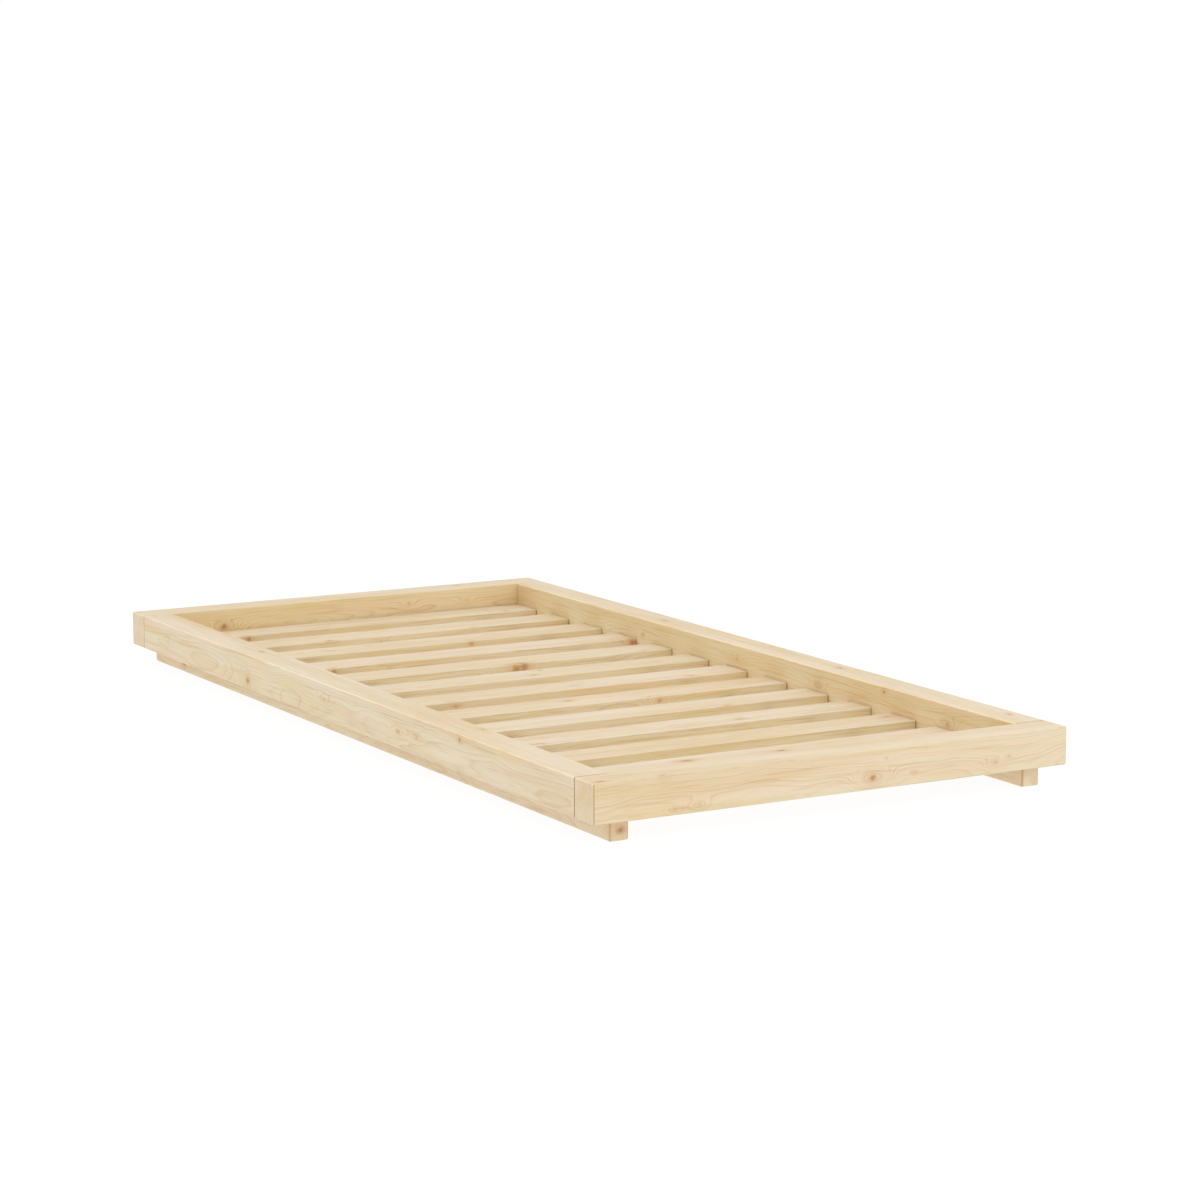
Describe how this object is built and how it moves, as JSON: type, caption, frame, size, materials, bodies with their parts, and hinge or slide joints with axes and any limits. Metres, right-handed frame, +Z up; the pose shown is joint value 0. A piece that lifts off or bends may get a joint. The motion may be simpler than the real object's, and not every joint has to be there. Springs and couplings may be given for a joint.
{
  "type": "low bed frame",
  "caption": "Low single bed frame in natural pine: square timbers round a mattress well, loose slats strung on tapes, and inset runners as feet.",
  "frame": {"origin": "on the floor, under the middle of the frame", "axes": "+Y from the foot end to the head end, the bed's length; +X across the bed, to the right when looking from foot to head; +Z up"},
  "size_m": [1.04, 2.14, 0.115],
  "materials": {
    "pine_timber": "natural pine, planed and clear matt sealed, knotty",
    "pine_runner": "natural pine, planed, unfinished look",
    "pine_slat": "natural pine, planed, knotty",
    "beech_dowel": "plain beech",
    "webbing": "woven cotton tape, undyed",
    "staple_wire": "galvanised wire",
    "zinc_steel": "bright zinc plated",
    "insert_brass": "yellow zinc plated sleeve"
  },
  "bodies": {
    "frame": {"foot_board": "pine_timber", "head_board": "pine_timber", "left_side_rail": "pine_timber", "right_side_rail": "pine_timber", "left_runner": "pine_runner", "right_runner": "pine_runner", "foot_left_dowels": "beech_dowel", "head_left_dowels": "beech_dowel", "left_runner_bolts": "zinc_steel", "left_runner_washers": "zinc_steel", "left_bolt_inserts": "insert_brass", "foot_right_dowels": "beech_dowel", "head_right_dowels": "beech_dowel", "right_runner_bolts": "zinc_steel", "right_runner_washers": "zinc_steel", "right_bolt_inserts": "insert_brass"},
    "slat_base": {"slat_01": "pine_slat", "slat_02": "pine_slat", "slat_03": "pine_slat", "slat_04": "pine_slat", "slat_05": "pine_slat", "slat_06": "pine_slat", "slat_07": "pine_slat", "slat_08": "pine_slat", "slat_09": "pine_slat", "slat_10": "pine_slat", "slat_11": "pine_slat", "slat_12": "pine_slat", "slat_13": "pine_slat", "left_slat_tape": "webbing", "right_slat_tape": "webbing", "left_tape_staples": "staple_wire", "right_tape_staples": "staple_wire"}
  },
  "joints": [
    {"name": "slat_base_lift", "type": "slide", "parent": "frame", "child": "slat_base", "axis": [0, 0, 1], "range_m": [0, 0.1]}
  ]
}
